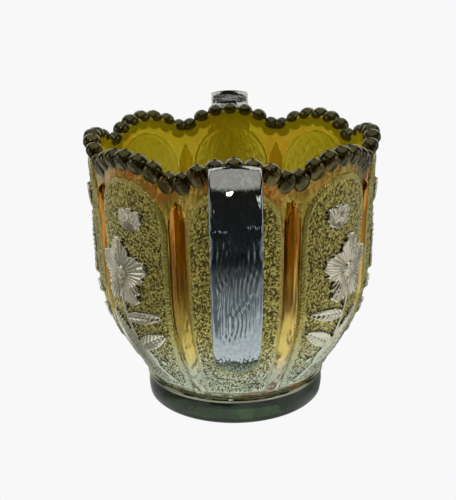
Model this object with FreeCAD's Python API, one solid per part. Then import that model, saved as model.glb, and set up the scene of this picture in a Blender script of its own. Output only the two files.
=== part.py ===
"""A two-handled pressed glass bowl with a round foot, a beaded scalloped rim and eight arched panels.

The bowl is a deep round cup. Its outside is eight shallow lobes, one for each panel. Every panel carries
a raised pad with an arched top, and a pointed ridge stands in the valley between two pads. Six panels
hold a flower spray in relief, and the other two hold the strap handles. Each lobe ends at the top in a
round scallop, and a row of beads runs along its edge.

Frame: millimetres, +Z up, origin at the middle of the underside of the foot. The handles lie on the
Y axis, and panel 1 faces -Y. The other panels follow anticlockwise, seen from above. A repeated piece
is built once about +X and then turned to its own panel.
"""

import FreeCAD
import Part

import math
import os

from FreeCAD import Vector

# ---------------------------------------------------------------- driving dimensions, mm and degrees
PANELS = 8
HANDLE_PANELS = {"handle_front": 1, "handle_back": 5}

# the cup
rim_radius = 53.9            # outside of a lobe where its straight wall would reach scallop_peak_z
scallop_peak_z = 104.6       # top of the glass at the middle of a scallop, under its bead
scallop_drop = 7.6           # how far the glass falls from there to where two scallops meet
wall_lean = 2.0              # the upper wall leans outwards by this much from upright
belly_corner_z = 38.0        # where the upper wall and the lower flare would meet
belly_radius = 63.0          # the round that joins them
waist_radius = 34.4          # outside of the cup where it stands on the foot
waist_z = 11.0               # height of that seat
lobe_depth = 2.2             # how far a lobe falls back, in plan, from its crest to its sides
valley_depth = 1.9           # how far a valley's flat floor lies inside the lobes' crests
lobe_start_z = 30.0          # the lobes grow out of a plain cone below this

# the inside
wall_thickness = 4.2         # at a lobe's crest
floor_z = 15.0               # top of the floor inside
floor_round = 13.0           # the round between the floor and the inner wall

# the foot
foot_overhang = 1.1          # its shoulder stands this far outside the cup's seat
foot_shoulder_z = 8.8        # the side is fullest here
foot_side_round = 60.0       # the side bows outwards with this radius
foot_taper = 0.8             # how far the standing face's edge lies inside the shoulder
foot_ring_width = 5.0        # of the standing face
foot_neck_bulge = 0.3        # how far the round above the shoulder bows out, as a share of the overhang
recess_depth = 4.0           # the hollow underneath
recess_slope = 1.5           # how much narrower the hollow is at its top

# the beads along the rim
BEADS = 7                    # on each scallop
bead_radius = 3.5
bead_sink = 1.0              # how far a bead's axis lies below the glass's edge
bead_inner_overhang = 0.5    # how far a bead stands past the wall inside
bead_outer_overhang = 2.2    # and outside
bead_round = 2.0             # on both of its ends

# the raised pads
pad_thickness = 0.8
pad_side_gap = 0.4           # degrees, between a pad and the ridge beside it
pad_spring_drop = 24.0       # the arch starts this far below the scallop's peak
pad_bottom_z = 13.0

# the pointed ridges between the pads
ridge_height = 1.9           # above the valley's floor
ridge_half_angle = 3.5
ridge_facet_slope = 26.0     # of its two faces, from the valley's floor
ridge_top_drop = 6.0         # its tip lies this far below the dip between two scallops
ridge_point = 7.0            # length of its pointed top
ridge_bottom_z = 13.0

# the flower sprays, as seen from the front of their panel; positive sideways is towards the back handle
spray_thickness = 1.3        # relief above the pad
PETALS = 5
flower_drop = 18.6           # the flower's middle lies this far below the start of the arch
flower_side = 4.0            # and this far sideways from the panel's middle
petal_reach = 7.2            # from the flower's middle to a petal's middle
petal_length = 12.4
petal_width = 10.6
flower_eye_radius = 3.0
stem_radius = 97.0           # the stem is an arc that runs towards the front handle on its way down
stem_width = 1.9
stem_bottom_z = 17.0
bud_radius = 1.5             # of the small buds beside the stem
top_bud_rise = 20.5          # the large bud stands this far above the flower's middle
top_bud_side = -3.0          # and this far sideways from the panel's middle
top_bud_length = 11.0
top_bud_width = 8.0
# each leaf: how far up the stem it starts, its direction in degrees from sideways, its length and width
LEAVES = ((0.62, 170, 16.0, 6.0), (0.36, 150, 15.0, 7.0), (0.16, 50, 27.0, 12.0))
# each small bud: how far up the stem it stands, and how far beside it
BUDS = ((0.52, 5.0), (0.46, 8.0), (0.22, -4.5))

# the handles
handle_width = 18.4          # at the shoulder
handle_tongue_width = 16.2   # where the tongue starts to round off
strap_thickness = 6.2
strap_edge_round = 2.4       # along its outer edges
strap_inner_round = 1.6      # and along its inner ones
STATIONS = 16                # outlines that the strap is drawn through
upper_root_drop = 3.4        # the strap's middle leaves the wall this far below the scallop's peak
lower_root_z = 33.0          # and comes back to the wall at this height
tongue_drop = 7.5            # the tongue's tip lies this far below that
crest_reach = 21.1           # the middle of the strap's crest, out from the rim
crest_rise = 3.7             # and up from the upper root
crest_sag = 0.6              # halfway there the strap hangs this far below a straight line
side_reach = 29.4            # the strap's outermost middle, out from the rim
side_drop = 15.2             # and down from the upper root
bend_rise = 1.6              # between them the strap passes this far above their middle height
lower_landing = 2.5          # the strap's middle comes down to this far above lower_root_z outside the wall
# two places on the way down there, as shares of the way in and the way down
LOWER_BENDS = ((0.11, 0.34), (0.45, 0.72))
taper_drop = 9.2             # the strap gets narrower from this far below the upper root

# ---------------------------------------------------------------- worked out from them
SECTOR = 360.0 / PANELS
HALF_SECTOR = SECTOR / 2
FAR = 3 * rim_radius         # past everything
Z_AXIS = Vector(0, 0, 1)
X_AXIS = Vector(1, 0, 0)
ORIGIN = Vector(0, 0, 0)
lobe_side_radius = rim_radius - lobe_depth
lobe_axis_x = (rim_radius**2 - lobe_side_radius**2) / (
    2 * (rim_radius - lobe_side_radius * math.cos(math.radians(HALF_SECTOR)))
)
scallop_dip_z = scallop_peak_z - scallop_drop
foot_radius = waist_radius + foot_overhang
pad_half_angle = HALF_SECTOR - ridge_half_angle - pad_side_gap
pad_spring_z = scallop_peak_z - pad_spring_drop
ridge_top_z = scallop_dip_z - ridge_top_drop
flower_z = pad_spring_z - flower_drop
upper_root_z = scallop_peak_z - upper_root_drop
handle_tip_z = lower_root_z - tongue_drop


# ---------------------------------------------------------------- helpers
def panel_angle(panel):
    """Direction of a panel's middle, in degrees from +X. Panel 1 faces -Y."""
    return -90.0 + SECTOR * (panel - 1)


def turned(shape, angle):
    """A copy of the shape, turned about the bowl's axis."""
    copy = shape.copy()
    copy.rotate(ORIGIN, Z_AXIS, angle)
    return copy


def mirrored(shape):
    """The shape's mirror image across the plane of X and Z."""
    return shape.mirror(ORIGIN, Vector(0, 1, 0))


def line(start, end):
    return Part.LineSegment(start, end).toShape()


def polygon_face(points):
    return Part.Face(Part.makePolygon(list(points) + [points[0]]))


def wedge(half_angle, low=0.0, high=FAR):
    """Everything within half_angle of +X as seen along Z, between two heights."""
    reach = FAR * math.tan(math.radians(half_angle))
    face = polygon_face([Vector(0, 0, low), Vector(FAR, -reach, low), Vector(FAR, reach, low)])
    return face.extrude(Vector(0, 0, high - low))


def largest(shape):
    """The largest solid of a boolean's result, with its split faces joined again."""
    return max(shape.removeSplitter().Solids, key=lambda solid: solid.Volume)


# ---------------------------------------------------------------- the cup's side
def side_frame(offset):
    """The cup's side in the XZ plane: a lower flare, the belly's round and an upper wall.

    offset moves the whole side outwards, or inwards where it is negative.
    """
    lean = math.radians(wall_lean)
    corner_x = rim_radius - (scallop_peak_z - belly_corner_z) * math.tan(lean)
    flare = math.atan2(corner_x - waist_radius, belly_corner_z - waist_z)
    reach = belly_radius * math.tan((flare - lean) / 2)
    up = Vector(math.sin(lean), 0, math.cos(lean))
    corner = Vector(corner_x, 0, belly_corner_z)
    normals = [Vector(math.cos(turn), 0, -math.sin(turn)) for turn in (flare, (flare + lean) / 2, lean)]
    centre = corner + up * reach - normals[2] * belly_radius
    return {
        "foot": Vector(waist_radius, 0, waist_z) + normals[0] * offset,
        "flare": flare,
        "centre": centre,
        "round": [centre + normal * (belly_radius + offset) for normal in normals],
        "top": corner + normals[2] * offset + up * FAR,
    }


def side_point(z, offset=0.0):
    """Point on the side at height z."""
    frame = side_frame(offset)
    low, _, high = frame["round"]
    if z < low.z:
        return frame["foot"] + (low - frame["foot"]) * ((z - frame["foot"].z) / (low.z - frame["foot"].z))
    if z > high.z:
        return high + (frame["top"] - high) * ((z - high.z) / (frame["top"].z - high.z))
    centre = frame["centre"]
    return Vector(centre.x + math.sqrt((belly_radius + offset)**2 - (z - centre.z)**2), 0, z)


def inside_side(offset, bottom_z, axis_x=0.0, half_angle=180.0):
    """All that lies inside the side and above bottom_z, turned about an upright axis at axis_x."""
    frame = side_frame(offset)
    low, middle, high = frame["round"]
    below = side_point(bottom_z, offset)
    start = Vector(axis_x, 0, bottom_z)
    end = Vector(axis_x, 0, frame["top"].z)
    face = Part.Face(Part.Wire([
        line(start, below),
        line(below, low),
        Part.Arc(low, middle, high).toShape(),
        line(high, frame["top"]),
        line(frame["top"], end),
        line(end, start),
    ]))
    face.rotate(start, Z_AXIS, -half_angle)
    return face.revolve(start, Z_AXIS, 2 * half_angle)


def lobe(offset, bottom_z):
    """One lobe of the cup, grown outwards by offset and cut to its own sector."""
    bulge = inside_side(offset, bottom_z, lobe_axis_x, 90)
    inner = Part.makeBox(lobe_axis_x, FAR, 2 * FAR, Vector(0, -FAR / 2, bottom_z))
    return bulge.fuse(inner).common(wedge(HALF_SECTOR))


def cup_sector():
    """One sector of the cup without its inside: a lobe, on a round core that is a cone near the foot."""
    start_radius = side_point(lobe_start_z, -valley_depth).x
    core = inside_side(-valley_depth, waist_z)
    cone = Part.makeCone(waist_radius, start_radius, lobe_start_z - waist_z, Vector(0, 0, waist_z))
    return core.fuse(cone).common(wedge(HALF_SECTOR)).fuse(lobe(0.0, waist_z))


def all_round(sector):
    """A sector repeated all round the bowl's axis, as one solid."""
    sectors = [turned(sector, SECTOR * index) for index in range(PANELS)]
    return largest(sectors[0].multiFuse(sectors[1:]))


def fitted(shape, bodies):
    """What is left of a shape outside the bodies."""
    for body in bodies:
        shape = shape.cut(body)
    return largest(shape)


def cavity():
    """The inside of the bowl, from the floor up, with a round where the floor meets the wall."""
    inside = inside_side(-wall_thickness, floor_z)
    floor_edges = [
        edge for edge in inside.Edges
        if edge.BoundBox.ZMax < floor_z + 0.01 and edge.BoundBox.XLength > waist_radius
    ]
    return inside.makeFillet(floor_round, floor_edges)


# ---------------------------------------------------------------- the scallops and their beads
rim_middle_radius = side_point(scallop_dip_z, -wall_thickness / 2).x
half_chord = rim_middle_radius * math.sin(math.radians(HALF_SECTOR))
scallop_radius = (half_chord**2 + scallop_drop**2) / (2 * scallop_drop)
scallop_axis_z = scallop_peak_z - scallop_radius


def above_scallop():
    """What a scallop takes off the top of its own sector."""
    scallop = Part.makeCylinder(scallop_radius, FAR, Vector(0, 0, scallop_axis_z), X_AXIS)
    return wedge(HALF_SECTOR, scallop_axis_z, 2 * FAR).cut(scallop)


def lobed_radius(angle, z):
    """Outside of the lobed cup in a direction, in degrees from its panel's middle."""
    turn = math.radians(angle)
    lobe_reach = side_point(z).x - lobe_axis_x
    return lobe_axis_x * math.cos(turn) + math.sqrt(lobe_reach**2 - (lobe_axis_x * math.sin(turn))**2)


def bead(step):
    """One bead of the row, step places from its middle. Its axis points at the bowl's own."""
    scallop_turn = step * 2 * math.asin(half_chord / scallop_radius) / BEADS
    angle = math.degrees(math.asin(scallop_radius * math.sin(scallop_turn) / rim_middle_radius))
    z = scallop_axis_z + scallop_radius * math.cos(scallop_turn) - bead_sink
    inner = side_point(z, -wall_thickness).x - bead_inner_overhang
    outer = lobed_radius(angle, z) + bead_outer_overhang
    barrel = Part.makeCylinder(bead_radius, outer - inner, Vector(inner, 0, z), X_AXIS)
    ends = [edge for edge in barrel.Edges if edge.BoundBox.XLength < 0.01]
    return turned(barrel.makeFillet(bead_round, ends), angle)


def bead_row():
    """The beads of one scallop, cut off where the next row starts."""
    half = BEADS // 2
    beads = [bead(step) for step in range(-half, half + 1)]
    return beads[0].multiFuse(beads[1:]).common(wedge(HALF_SECTOR))


# ---------------------------------------------------------------- pads and ridges
def arch():
    """The outline of a pad as seen from the front, drawn out along X."""
    radius = side_point(pad_spring_z).x * math.sin(math.radians(pad_half_angle))
    legs = Part.makeBox(FAR, FAR, pad_spring_z - pad_bottom_z, Vector(0, -FAR / 2, pad_bottom_z))
    top = Part.makeCylinder(radius, FAR, Vector(0, 0, pad_spring_z), X_AXIS)
    return legs.fuse(top)


def pad():
    sector = wedge(pad_half_angle)
    return lobe(pad_thickness, pad_bottom_z).common(sector).common(arch())


def ridge():
    """A bar of two sloping faces along the cup's side, with a pointed top."""
    crest_offset = ridge_height - valley_depth
    slab = inside_side(crest_offset, ridge_bottom_z, half_angle=ridge_half_angle)
    outline = slab.slice(Vector(0, 1, 0), 0)[0]
    run = side_point(ridge_top_z).x * math.sin(math.radians(ridge_half_angle))
    fall = run * math.tan(math.radians(ridge_facet_slope))
    halves = [Part.Face(outline).extrude(Vector(-fall, way * run, 0)) for way in (-1, 1)]
    front = polygon_face([
        Vector(0, -run, ridge_bottom_z),
        Vector(0, run, ridge_bottom_z),
        Vector(0, run, ridge_top_z - ridge_point),
        Vector(0, 0, ridge_top_z),
        Vector(0, -run, ridge_top_z - ridge_point),
    ]).extrude(Vector(FAR, 0, 0))
    return halves[0].fuse(halves[1]).common(wedge(ridge_half_angle)).common(front)


# ---------------------------------------------------------------- flower sprays
def drawn_out(wires):
    """A solid drawn out along X from closed outlines in the YZ plane."""
    faces = [Part.Face(wire).extrude(Vector(FAR, 0, 0)) for wire in wires]
    if len(faces) == 1:
        return faces[0]
    return faces[0].multiFuse(faces[1:])


def relief(outlines):
    """The outlines as a layer on the pad, following the lobe."""
    shell = lobe(pad_thickness + spray_thickness, pad_bottom_z).cut(lobe(pad_thickness, pad_bottom_z - 1))
    return shell.common(drawn_out(outlines))


def ellipse(centre, along, across, angle):
    """An ellipse in the YZ plane. Its long axis stands at angle from +Y."""
    curve = Part.Ellipse(ORIGIN, along / 2, across / 2)
    wire = Part.Wire([curve.toShape()])
    wire.rotate(ORIGIN, Vector(0, 0, 1), angle)
    wire.rotate(ORIGIN, Vector(1, 1, 1), 120)
    wire.translate(centre)
    return wire


def leaf(start, angle, length, width):
    """A leaf of two arcs, from its stalk at start towards angle."""
    turn = math.radians(angle)
    along = Vector(0, math.cos(turn), math.sin(turn))
    across = Vector(0, -math.sin(turn), math.cos(turn))
    tip = start + along * length
    upper = start + along * (length / 2) + across * (width / 2)
    lower = start + along * (length / 2) - across * (width / 2)
    return Part.Wire([Part.Arc(start, upper, tip).toShape(), Part.Arc(tip, lower, start).toShape()])


def flower_outlines():
    """Petals about the flower's round eye."""
    middle = Vector(0, flower_side, flower_z)
    outlines = [ellipse(middle, 2 * flower_eye_radius, 2 * flower_eye_radius, 0)]
    for index in range(PETALS):
        angle = 90 + 360 / PETALS * index
        turn = math.radians(angle)
        away = Vector(0, math.cos(turn), math.sin(turn))
        outlines.append(ellipse(middle + away * petal_reach, petal_length, petal_width, angle))
    return outlines


def stem_point(z):
    """Point on the stem's middle line, an arc that starts upright under the flower."""
    drop = flower_z - z
    return Vector(0, flower_side - stem_radius + math.sqrt(stem_radius**2 - drop**2), z)


def round_bud(centre):
    return ellipse(centre, 2 * bud_radius, 2 * bud_radius, 0)


def stem_outlines():
    """The stem, with leaves on both sides and a few buds, and a large bud above the flower."""
    height = flower_z - stem_bottom_z
    middle_z = stem_bottom_z + height / 2
    edge = Vector(0, stem_width / 2, 0)
    right = [stem_point(z) + edge for z in (flower_z, middle_z, stem_bottom_z)]
    left = [stem_point(z) - edge for z in (stem_bottom_z, middle_z, flower_z)]
    stem = Part.Wire([
        Part.Arc(*right).toShape(),
        line(right[2], left[0]),
        Part.Arc(*left).toShape(),
        line(left[2], right[0]),
    ])
    leaves = [
        leaf(stem_point(stem_bottom_z + share * height), angle, length, width)
        for share, angle, length, width in LEAVES
    ]
    buds = [
        round_bud(stem_point(stem_bottom_z + share * height) + Vector(0, step, 0))
        for share, step in BUDS
    ]
    top_bud = ellipse(Vector(0, top_bud_side, flower_z + top_bud_rise), top_bud_length, top_bud_width, 90)
    return [stem, top_bud] + leaves + buds


# ---------------------------------------------------------------- handles
def strap_curve():
    """The strap's middle line, from inside the upper wall round to inside the lower wall."""
    crest = Vector(rim_radius + crest_reach, 0, upper_root_z + crest_rise)
    side = Vector(rim_radius + side_reach, 0, upper_root_z - side_drop)
    upper = Vector(side_point(upper_root_z).x - strap_thickness, 0, upper_root_z)
    lower_wall_x = side_point(lower_root_z).x
    landing = Vector(lower_wall_x + strap_thickness, 0, lower_root_z + lower_landing)
    lower = Vector(lower_wall_x - strap_thickness, 0, lower_root_z - strap_thickness)
    way = landing - side
    bends = [side + Vector(way.x * share_in, 0, way.z * share_down) for share_in, share_down in LOWER_BENDS]
    curve = Part.BSplineCurve()
    curve.interpolate([
        upper,
        (upper + crest) * 0.5 - Vector(0, 0, crest_sag),
        crest,
        Vector((crest.x + 2 * side.x) / 3, 0, (crest.z + side.z) / 2 + bend_rise),
        side,
        *bends,
        landing,
        lower,
    ])
    return curve


def strap_section(curve, share):
    """Rounded outline of the strap, square to its middle line at a share of its length."""
    place = curve.FirstParameter + (curve.LastParameter - curve.FirstParameter) * share
    middle = curve.value(place)
    tangent = curve.tangent(place)[0]
    outwards = Vector(-tangent.z, 0, tangent.x)
    taper_z = upper_root_z - taper_drop
    taper = 0.0
    if middle.z < taper_z:
        taper = min(1.0, (taper_z - middle.z) / (taper_z - lower_root_z))
    half = (handle_width + (handle_tongue_width - handle_width) * taper) / 2
    corners = [
        (1, 1, strap_edge_round),
        (-1, 1, strap_edge_round),
        (-1, -1, strap_inner_round),
        (1, -1, strap_inner_round),
    ]
    arcs = []
    for side_way, out_way, radius in corners:
        centre = middle + Vector(0, side_way * (half - radius), 0)
        centre = centre + outwards * (out_way * (strap_thickness / 2 - radius))
        sideways = Vector(0, side_way * radius, 0)
        out = outwards * (out_way * radius)
        arc = [centre + sideways, centre + (sideways + out) * math.sqrt(0.5), centre + out]
        arcs.append(arc if side_way * out_way > 0 else arc[::-1])
    edges = []
    for arc, following in zip(arcs, arcs[1:] + arcs[:1]):
        edges += [Part.Arc(*arc).toShape(), line(arc[2], following[0])]
    return Part.Wire(edges)


def below_tongue():
    """What is taken off the strap's lower end, so that the tongue ends in a round."""
    radius = handle_tongue_width / 2
    box = Part.makeBox(FAR, FAR, handle_tip_z + radius, Vector(0, -FAR / 2, 0))
    return box.cut(Part.makeCylinder(radius, FAR, Vector(0, 0, handle_tip_z + radius), X_AXIS))


def handle():
    """The whole strap, before it is fitted to the wall."""
    curve = strap_curve()
    sections = [strap_section(curve, step / STATIONS) for step in range(STATIONS + 1)]
    return Part.makeLoft(sections, True, False).cut(below_tongue())


# ---------------------------------------------------------------- the foot
def foot():
    """A round foot with bowed sides, a rounded shoulder and a shallow hollow underneath."""
    foot_bottom_radius = foot_radius - foot_taper
    recess_radius = foot_bottom_radius - foot_ring_width
    bow = foot_shoulder_z / 2
    bow_out = bow**2 / (2 * foot_side_round)
    shoulder = Vector(foot_radius, 0, foot_shoulder_z)
    seat = Vector(waist_radius, 0, waist_z)
    standing = Vector(foot_bottom_radius, 0, 0)
    bow_middle = (shoulder + standing) * 0.5 + Vector(bow_out, 0, 0)
    neck = (shoulder + seat) * 0.5 + Vector(foot_neck_bulge * foot_overhang, 0, 0)
    face = Part.Face(Part.Wire([
        line(Vector(0, 0, recess_depth), Vector(recess_radius - recess_slope, 0, recess_depth)),
        line(Vector(recess_radius - recess_slope, 0, recess_depth), Vector(recess_radius, 0, 0)),
        line(Vector(recess_radius, 0, 0), standing),
        Part.Arc(standing, bow_middle, shoulder).toShape(),
        Part.Arc(shoulder, neck, seat).toShape(),
        line(seat, Vector(0, 0, waist_z)),
        line(Vector(0, 0, waist_z), Vector(0, 0, recess_depth)),
    ]))
    return face.revolve(ORIGIN, Z_AXIS, 360)


# ---------------------------------------------------------------- everything together
def build():
    """Every node's shape, by name."""
    sector = cup_sector()
    wall = all_round(fitted(sector, [cavity(), above_scallop()]))
    nodes = {"bowl_wall": wall, "foot": foot()}

    beads = bead_row().cut(wall)
    one_pad = fitted(pad(), [sector])
    one_ridge = fitted(turned(ridge(), HALF_SECTOR), [sector, turned(sector, SECTOR)])
    flower = relief(flower_outlines())
    stem = relief(stem_outlines()).cut(flower)
    one_handle = fitted(handle(), [sector, one_pad, beads])

    for panel in range(1, PANELS + 1):
        angle = panel_angle(panel)
        nodes[f"rim_beads_{panel}"] = turned(beads, angle)
        nodes[f"panel_pad_{panel}"] = turned(one_pad, angle)
        nodes[f"ridge_{panel}"] = turned(one_ridge, angle)
        if panel not in HANDLE_PANELS.values():
            far_side = panel > HANDLE_PANELS["handle_back"]
            nodes[f"flower_{panel}"] = turned(mirrored(flower) if far_side else flower, angle)
            nodes[f"stem_and_leaves_{panel}"] = turned(mirrored(stem) if far_side else stem, angle)
    for name, panel in HANDLE_PANELS.items():
        nodes[name] = turned(one_handle, panel_angle(panel))
    return nodes


os.makedirs("parts", exist_ok=True)
for name, shape in build().items():
    shape.exportStep(f"parts/{name}.step")
    print(f"{name}: {len(shape.Solids)} solid(s), {shape.Volume:.0f} mm3, valid {shape.isValid()}")
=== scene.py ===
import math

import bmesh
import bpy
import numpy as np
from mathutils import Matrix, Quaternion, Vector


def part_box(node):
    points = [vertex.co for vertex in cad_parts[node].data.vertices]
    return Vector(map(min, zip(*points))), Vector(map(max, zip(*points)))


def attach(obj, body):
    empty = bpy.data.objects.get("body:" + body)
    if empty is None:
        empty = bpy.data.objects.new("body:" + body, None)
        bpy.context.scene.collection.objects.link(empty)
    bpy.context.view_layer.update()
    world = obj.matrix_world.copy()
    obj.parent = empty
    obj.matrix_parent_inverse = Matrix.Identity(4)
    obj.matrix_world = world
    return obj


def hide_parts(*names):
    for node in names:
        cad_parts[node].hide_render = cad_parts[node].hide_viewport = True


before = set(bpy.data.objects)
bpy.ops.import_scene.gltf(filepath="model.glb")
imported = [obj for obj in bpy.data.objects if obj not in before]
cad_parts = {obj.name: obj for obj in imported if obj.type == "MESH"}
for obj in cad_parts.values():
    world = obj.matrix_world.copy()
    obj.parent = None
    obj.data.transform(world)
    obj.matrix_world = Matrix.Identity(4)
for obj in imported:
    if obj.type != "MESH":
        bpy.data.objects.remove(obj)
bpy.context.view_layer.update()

# %% [markdown]
# # A two-handled pressed glass bowl
#
# The bowl was pressed in one mould and then sprayed with metal salts while it was hot, which left a thin,
# shining film on its outside. This lesson builds it piece by piece: the wall, the foot, the beads on the
# rim, the stippled pads with their flower sprays, the pointed ridges and the two strap handles.
#
# The CAD model is loaded first, and its pieces are kept for their boxes.

MM = 0.001
PANELS = 8
SECTOR = 360.0 / PANELS
FLOWER_PANELS = (2, 3, 4, 6, 7, 8)

# %% [markdown]
# ## Sizes that the frame gives
#
# Panel 3 faces +X, so the corners of its pad are also the pad's own sizes. Everything that must meet the
# CAD is read from its nodes. Only small things that no box shows, such as a round or a lean, are written
# here as numbers.

# %% Sizes of the cup, the pads and the beads
wall_low, wall_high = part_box("bowl_wall")
foot_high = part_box("foot")[1]
pad_low, pad_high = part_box("panel_pad_3")
rim_radius = wall_high.x
peak_z = wall_high.z
waist_z = wall_low.z
foot_radius = foot_high.x
waist_radius = foot_radius - 1.1 * MM
floor_z = 15 * MM
wall_thickness = 4.2 * MM
lean = math.radians(2.0)
belly_corner_z = 38 * MM
belly_radius = 63 * MM
lobe_depth = 2.2 * MM
valley_depth = 1.9 * MM
lobe_start_z = 30 * MM
scallop_drop = 7.6 * MM
pad_bottom_z = pad_low.z
arch_radius = pad_high.y
spring_z = pad_high.z - arch_radius
pad_half_angle = math.radians(18.6)
HALF = math.radians(SECTOR / 2)
print(f"rim radius {rim_radius / MM:.1f} mm, arch radius {arch_radius / MM:.1f} mm")

# %% [markdown]
# ## The cup's side as a formula
#
# The side of the cup is a straight flare, a round belly and a nearly upright wall. One function gives its
# radius at any height, so every piece that lies on the wall can ask for the same surface. The outside is
# eight shallow lobes. Each lobe is a circle about an axis of its own, and between two of them the round
# core of the cup shows as a valley.

# %% The side and its lobes
corner_x = rim_radius - (peak_z - belly_corner_z) * math.tan(lean)
flare = math.atan2(corner_x - waist_radius, belly_corner_z - waist_z)
belly_reach = belly_radius * math.tan((flare - lean) / 2)
belly_x = corner_x + belly_reach * math.sin(lean) - belly_radius * math.cos(lean)
belly_z = belly_corner_z + belly_reach * math.cos(lean) + belly_radius * math.sin(lean)
side_radius_at_dip = rim_radius - lobe_depth
lobe_axis = (rim_radius**2 - side_radius_at_dip**2) / (2 * (rim_radius - side_radius_at_dip * math.cos(HALF)))


def side(z, offset=0.0):
    """Radius of the cup's side at height z, moved outwards by offset."""
    z = np.asarray(z, float)
    radius = belly_radius + offset
    low = waist_radius + offset / math.cos(flare) + (z - waist_z) * math.tan(flare)
    high = corner_x + offset / math.cos(lean) + (z - belly_corner_z) * math.tan(lean)
    belly = belly_x + np.sqrt(np.maximum(radius**2 - (z - belly_z)**2, 0))
    belly = np.where(z < belly_z - radius * math.sin(flare), low, belly)
    return np.where(z > belly_z - radius * math.sin(lean), high, belly)


def outside(angle, z):
    """Radius of the lobed outside, angle in radians from the middle of the lobe."""
    reach = side(z) - lobe_axis
    lobe = lobe_axis * np.cos(angle) + np.sqrt(np.maximum(reach**2 - (lobe_axis * np.sin(angle))**2, 0))
    start = side(lobe_start_z, -valley_depth)
    cone = waist_radius + (np.asarray(z) - waist_z) * (start - waist_radius) / (lobe_start_z - waist_z)
    core = np.where(np.asarray(z) < lobe_start_z, cone, side(z, -valley_depth))
    return np.maximum(lobe, core)


rim_middle = float(side(peak_z - scallop_drop, -wall_thickness / 2))
half_chord = rim_middle * math.sin(HALF)
scallop_radius = (half_chord**2 + scallop_drop**2) / (2 * scallop_drop)
scallop_axis_z = peak_z - scallop_radius


def rim_height(angle):
    """Top of the glass, which rises to a round scallop over every panel."""
    across = rim_middle * np.sin(angle)
    return scallop_axis_z + np.sqrt(scallop_radius**2 - across**2)


def smooth(x, low, high):
    """0 below low, 1 above high, and an even S between them."""
    t = np.clip((np.asarray(x, float) - low) / (high - low), 0, 1)
    return t * t * (3 - 2 * t)


print(f"flare {math.degrees(flare):.1f} degrees, scallop radius {scallop_radius / MM:.1f} mm")

# %% [markdown]
# ## Turning points into closed pieces
#
# A glass piece has to be a closed skin with its faces outwards, or light is bent the wrong way in it. Two
# helpers do this for every piece. One rolls rows of points round into a vessel with a pole at each end. The
# other closes a thin plate from a front grid and a back grid.

# %% Helpers for closed meshes
def new_piece(name, points, faces, crease=40):
    """An object at the origin from points in metres, with its faces turned outwards."""
    mesh = bpy.data.meshes.new(name)
    mesh.from_pydata([tuple(p) for p in points], [], [tuple(f) for f in faces])
    work = bmesh.new()
    work.from_mesh(mesh)
    if work.calc_volume(signed=True) < 0:
        bmesh.ops.reverse_faces(work, faces=work.faces)
    work.to_mesh(mesh)
    work.free()
    mesh.shade_smooth()
    mesh.set_sharp_from_angle(angle=math.radians(crease))
    piece = bpy.data.objects.new(name, mesh)
    bpy.context.scene.collection.objects.link(piece)
    return piece


def vessel(rows, first_pole, last_pole):
    """Points and faces of a skin from rows that run all the way round, closed with a pole at each end."""
    count = rows[0].shape[0]
    points = np.vstack([first_pole, *rows, last_pole])
    columns = np.arange(count)
    following = np.roll(columns, -1)
    faces = [(0, 1 + b, 1 + a) for a, b in zip(columns, following)]
    for index in range(len(rows) - 1):
        near, far = 1 + index * count, 1 + (index + 1) * count
        faces += [(near + a, near + b, far + b, far + a) for a, b in zip(columns, following)]
    last, near = len(points) - 1, 1 + (len(rows) - 1) * count
    faces += [(near + a, near + b, last) for a, b in zip(columns, following)]
    return points, faces


def plate(front, back, back_columns=10):
    """Points and faces of a thin closed plate. The hidden back has only a few columns of faces."""
    rows, columns = front.shape[:2]
    picks = sorted(set(np.linspace(0, columns - 1, back_columns + 1).astype(int)))
    used = np.zeros((rows, columns), bool)
    used[0, :] = used[-1, :] = True
    used[:, picks] = True
    place = np.full((rows, columns), -1)
    place[used] = np.arange(used.sum()) + rows * columns
    points = np.vstack([front.reshape(-1, 3), back[used]])
    ahead = np.arange(rows * columns).reshape(rows, columns)
    corners = [ahead[:-1, :-1], ahead[:-1, 1:], ahead[1:, 1:], ahead[1:, :-1]]
    faces = np.stack(corners, -1).reshape(-1, 4).tolist()
    for left, right in zip(picks[:-1], picks[1:]):
        for row in range(rows - 1):
            low = place[row, left:right + 1] if row == 0 else place[row, [left, right]]
            high = place[row + 1, left:right + 1] if row == rows - 2 else place[row + 1, [left, right]]
            faces.append([*low[::-1], *high])
    for row in range(rows - 1):
        faces.append([ahead[row + 1, 0], place[row + 1, 0], place[row, 0], ahead[row, 0]])
        faces.append([ahead[row, -1], place[row, -1], place[row + 1, -1], ahead[row + 1, -1]])
    for column in range(columns - 1):
        faces.append([ahead[0, column], place[0, column], place[0, column + 1], ahead[0, column + 1]])
        faces.append([ahead[-1, column + 1], place[-1, column + 1], place[-1, column], ahead[-1, column]])
    return points, faces


def on_bowl(angle, radius, z):
    """Points from an angle about the bowl's axis, a radius and a height."""
    angle, radius, z = np.broadcast_arrays(angle, radius, z)
    return np.stack([radius * np.cos(angle), radius * np.sin(angle), z], -1)


def panel_angle(panel):
    """Direction of a panel's middle in radians. Panel 1 faces -Y."""
    return math.radians(-90 + SECTOR * (panel - 1))


def report(piece):
    """Prints how large a piece is, and whether its skin is closed."""
    work = bmesh.new()
    work.from_mesh(piece.data)
    open_edges = sum(not edge.is_manifold for edge in work.edges)
    triangles = sum(len(face.verts) - 2 for face in work.faces)
    print(f"{piece.name}: {triangles} triangles, {open_edges} open edges")
    work.free()
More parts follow.
